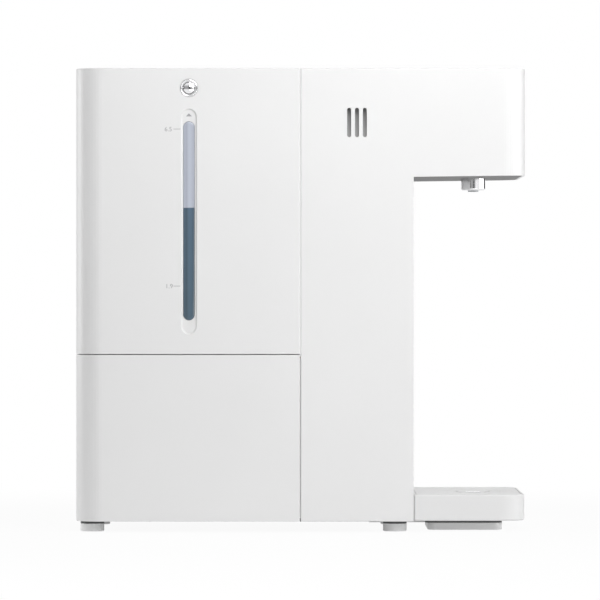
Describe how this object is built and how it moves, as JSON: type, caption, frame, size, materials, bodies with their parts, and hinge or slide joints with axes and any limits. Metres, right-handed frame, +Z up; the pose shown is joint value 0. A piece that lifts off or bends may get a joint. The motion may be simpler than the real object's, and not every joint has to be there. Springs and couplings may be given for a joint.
{
  "type": "hot and cold water dispenser",
  "caption": "Table-top hot and cold water dispenser with a lift-off rear tank, a column and head with one nozzle over a drip tray.",
  "frame": {"origin": "middle of the ground under the machine, below the middle of its bounding box", "axes": "+Z up; -Y towards the nozzle and drip tray; +X to the right of a person who faces the machine's front"},
  "size_m": [0.19, 0.408, 0.42],
  "materials": {
    "white_case": "satin white moulding",
    "white_trim": "satin white moulding",
    "grey_moulding": "fine matte grey",
    "light_grey_rubber": "matte",
    "chrome_trim": "polished",
    "clear_plastic": "clear",
    "lens_blue_grey": "clear, faintly tinted",
    "panel_black": "gloss black",
    "button_white": "satin",
    "silicone": "soft matte",
    "steel": "brushed",
    "aluminium": "extruded",
    "brass": "turned",
    "foam": "closed-cell foam",
    "ceramic": "ceramic plates",
    "black_plastic": "moulded",
    "board": "lacquered board",
    "coil_plastic": "wound coil in resin"
  },
  "bodies": {
    "machine": {"base_plate": "grey_moulding", "feet": "light_grey_rubber", "case_screws": "steel", "tray_support": "grey_moulding", "lower_cover": "white_case", "tank_deck": "white_case", "dock_socket": "grey_moulding", "dock_seal": "silicone", "main_shell": "white_case", "vent_baffles": "grey_moulding", "column_front": "white_case", "column_rear": "white_case", "top_cover": "white_case", "head_bottom": "grey_moulding", "fascia": "panel_black", "display_lens": "panel_black", "control_board": "board", "nozzle_sleeve": "chrome_trim", "nozzle_manifold": "grey_moulding", "power_inlet": "black_plastic", "power_board": "board", "cold_tank": "steel", "insulation": "foam", "cooling_module": "ceramic", "heat_sink": "aluminium", "fan_frame": "black_plastic", "pump_housing": "grey_moulding", "pump_motor": "steel", "valve_block": "brass", "valve_coils": "coil_plastic", "instant_heater": "steel", "temperature_probes": "steel", "reed_switch": "black_plastic", "suction_hose": "silicone", "delivery_hose": "silicone", "hot_feed_hose": "silicone", "cold_feed_hose": "silicone", "cold_hose": "silicone", "hot_hose": "silicone"},
    "tank": {"tank_shell": "white_case", "tank_vessel": "clear_plastic", "level_lens": "lens_blue_grey", "tank_outlet": "grey_moulding", "valve_spring": "steel", "pivot_caps": "chrome_trim"},
    "tank_lid": {"tank_lid": "white_trim", "lid_seal": "silicone"},
    "tank_handle": {"tank_handle": "white_trim"},
    "level_float": {"level_float": "black_plastic"},
    "valve_poppet": {"valve_poppet": "black_plastic"},
    "drip_tray": {"drip_tray": "white_trim"},
    "tray_cover": {"tray_cover": "white_trim"},
    "fan_rotor": {"fan_rotor": "black_plastic"},
    "pump_rotor": {"pump_rotor": "black_plastic"},
    "hot_plunger": {"hot_plunger": "steel"},
    "cold_plunger": {"cold_plunger": "steel"},
    "cold_button": {"cold_button": "button_white"},
    "lock_button": {"lock_button": "button_white"},
    "hot_button": {"hot_button": "button_white"}
  },
  "joints": [
    {"name": "tank_lift", "type": "slide", "parent": "machine", "child": "tank", "axis": [0, 0, 1], "range_m": [0, 0.27]},
    {"name": "lid_lift", "type": "slide", "parent": "tank", "child": "tank_lid", "axis": [0, 0, 1], "range_m": [0, 0.06]},
    {"name": "handle_swing", "type": "hinge", "parent": "tank", "child": "tank_handle", "pos_m": [0, 0.101, 0.4018], "axis": [1, 0, 0], "range_deg": [0, 82]},
    {"name": "float_rise", "type": "slide", "parent": "tank", "child": "level_float", "axis": [0, 0, 1], "range_m": [0, 0.012]},
    {"name": "poppet_rise", "type": "slide", "parent": "tank", "child": "valve_poppet", "axis": [0, 0, 1], "range_m": [0, 0.0025], "stiffness_N_per_m": 150, "springref_m": -0.006, "deforming": ["valve_spring"]},
    {"name": "tray_slide", "type": "slide", "parent": "machine", "child": "drip_tray", "axis": [0, -1, 0], "range_m": [0, 0.11]},
    {"name": "tray_cover_lift", "type": "slide", "parent": "drip_tray", "child": "tray_cover", "axis": [0, 0, 1], "range_m": [0, 0.03]},
    {"name": "fan_spin", "type": "hinge", "parent": "machine", "child": "fan_rotor", "pos_m": [0, 0.1795, 0.086], "axis": [0, 1, 0], "continuous": true},
    {"name": "pump_spin", "type": "hinge", "parent": "machine", "child": "pump_rotor", "pos_m": [0.074, 0.06, 0.07], "axis": [0, 0, 1], "continuous": true},
    {"name": "hot_plunger_lift", "type": "slide", "parent": "machine", "child": "hot_plunger", "axis": [0, 0, 1], "range_m": [0, 0.002], "stiffness_N_per_m": 400, "springref_m": -0.002},
    {"name": "cold_plunger_lift", "type": "slide", "parent": "machine", "child": "cold_plunger", "axis": [0, 0, 1], "range_m": [0, 0.002], "stiffness_N_per_m": 400, "springref_m": -0.002},
    {"name": "cold_button_press", "type": "slide", "parent": "machine", "child": "cold_button", "axis": [0, 1, 0], "range_m": [0, 0.0008], "stiffness_N_per_m": 1500},
    {"name": "lock_button_press", "type": "slide", "parent": "machine", "child": "lock_button", "axis": [0, 1, 0], "range_m": [0, 0.0008], "stiffness_N_per_m": 1500},
    {"name": "hot_button_press", "type": "slide", "parent": "machine", "child": "hot_button", "axis": [0, 1, 0], "range_m": [0, 0.0008], "stiffness_N_per_m": 1500}
  ]
}
